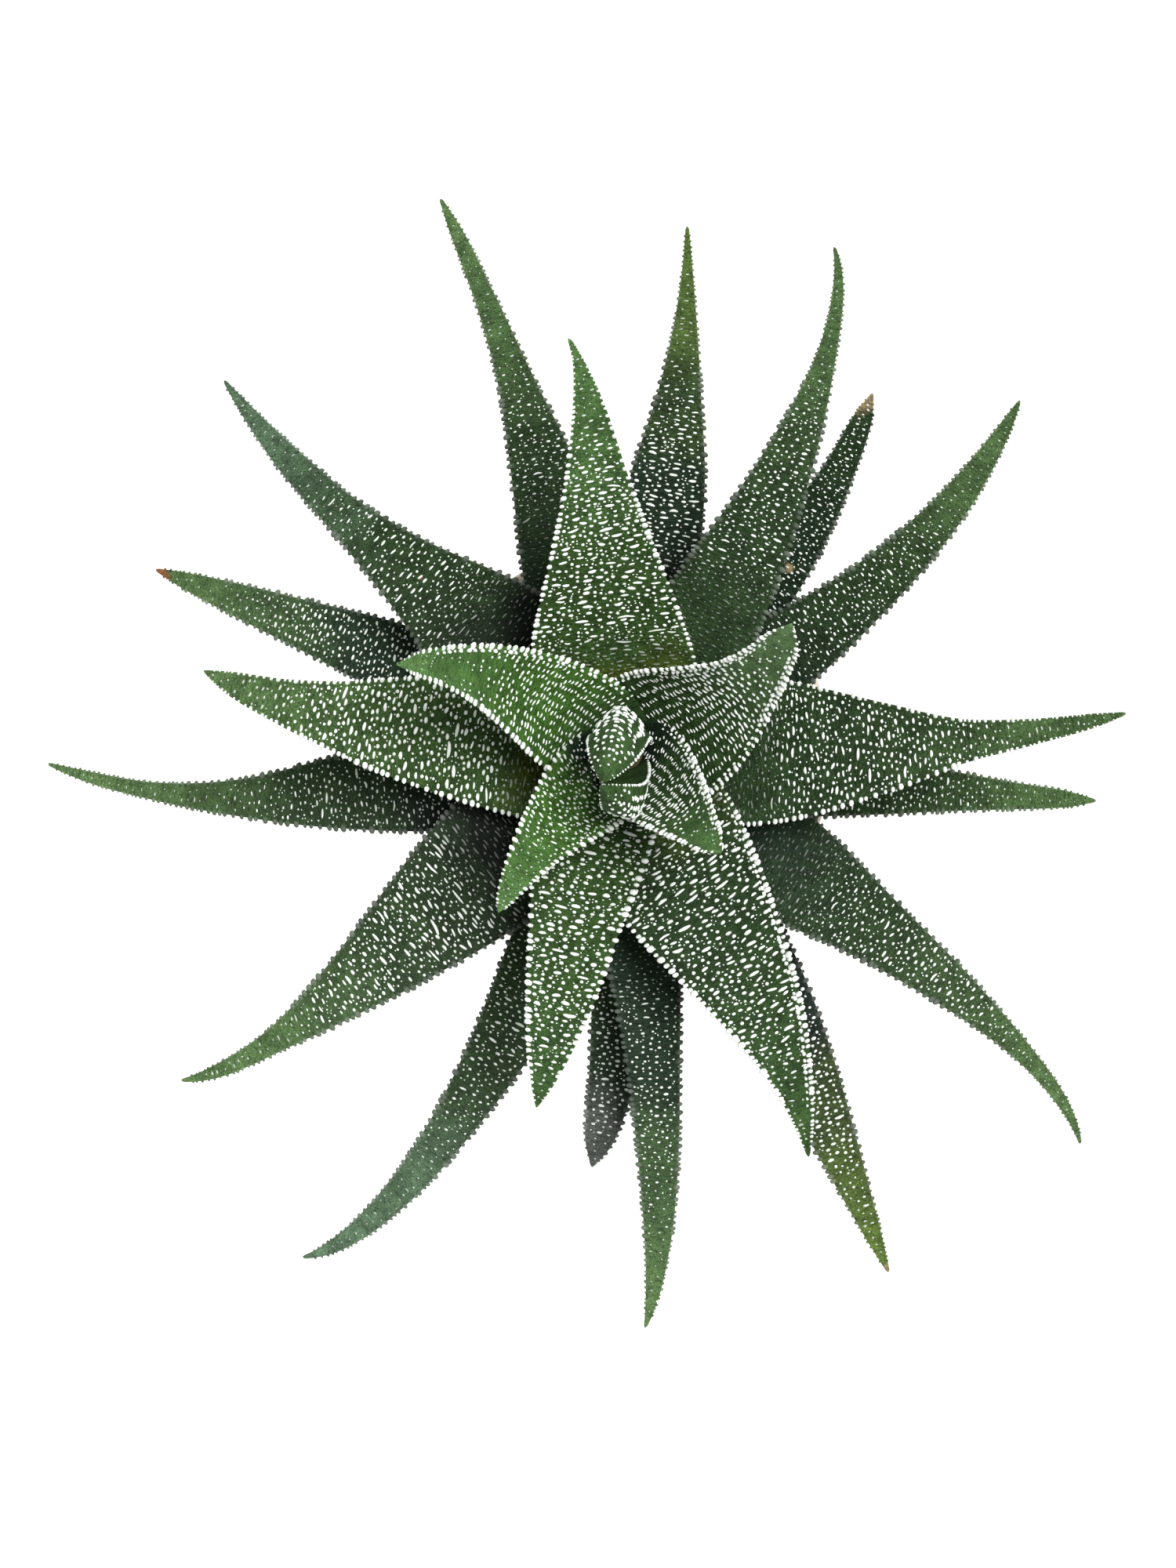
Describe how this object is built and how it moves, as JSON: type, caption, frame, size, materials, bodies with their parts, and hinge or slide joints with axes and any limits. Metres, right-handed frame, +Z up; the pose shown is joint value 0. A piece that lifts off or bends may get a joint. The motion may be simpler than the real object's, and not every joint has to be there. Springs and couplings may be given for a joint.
{
  "type": "potted haworthia",
  "caption": "Small studded haworthia rosette: thick, tapering, white-toothed leaves on a short stem, in potting mix in a plain round clay pot.",
  "frame": {"origin": "centre of the pot's flat underside, where it stands", "axes": "+Z up along the pot's and the stem's axis; +Y is the top of the picture and +X its right, seen from above"},
  "size_m": [0.1271, 0.1339, 0.1078],
  "materials": {
    "leaf_old": "satin, dark blue-green, studded white",
    "leaf_mature": "satin, mid-dark green, studded white",
    "leaf_upper": "satin, mid green, densely studded white",
    "leaf_inner": "satin, fresh green, white margins",
    "leaf_bud": "satin, pale green, white cross bands",
    "stem": "matt, fibrous",
    "potting_mix": "matt, crumbly",
    "clay": "matt, pale, unglazed, with faint throwing lines and fine specks"
  },
  "bodies": {
    "root": {"pot": "clay", "potting_mix": "potting_mix", "stem": "stem", "leaf_old_1": "leaf_old", "leaf_old_2": "leaf_old", "leaf_old_3": "leaf_old", "leaf_old_4": "leaf_old", "leaf_old_5": "leaf_old", "leaf_old_6": "leaf_old", "leaf_old_7": "leaf_old", "leaf_old_8": "leaf_old", "leaf_old_9": "leaf_old", "leaf_mature_1": "leaf_mature", "leaf_mature_2": "leaf_mature", "leaf_mature_3": "leaf_mature", "leaf_mature_4": "leaf_mature", "leaf_mature_5": "leaf_mature", "leaf_mature_6": "leaf_mature", "leaf_upper_1": "leaf_upper", "leaf_upper_2": "leaf_upper", "leaf_upper_3": "leaf_upper", "leaf_upper_4": "leaf_upper", "leaf_upper_5": "leaf_upper", "leaf_inner_1": "leaf_inner", "leaf_inner_2": "leaf_inner", "leaf_inner_3": "leaf_inner", "leaf_inner_4": "leaf_inner", "leaf_bud_1": "leaf_bud", "leaf_bud_2": "leaf_bud"}
  },
  "joints": []
}
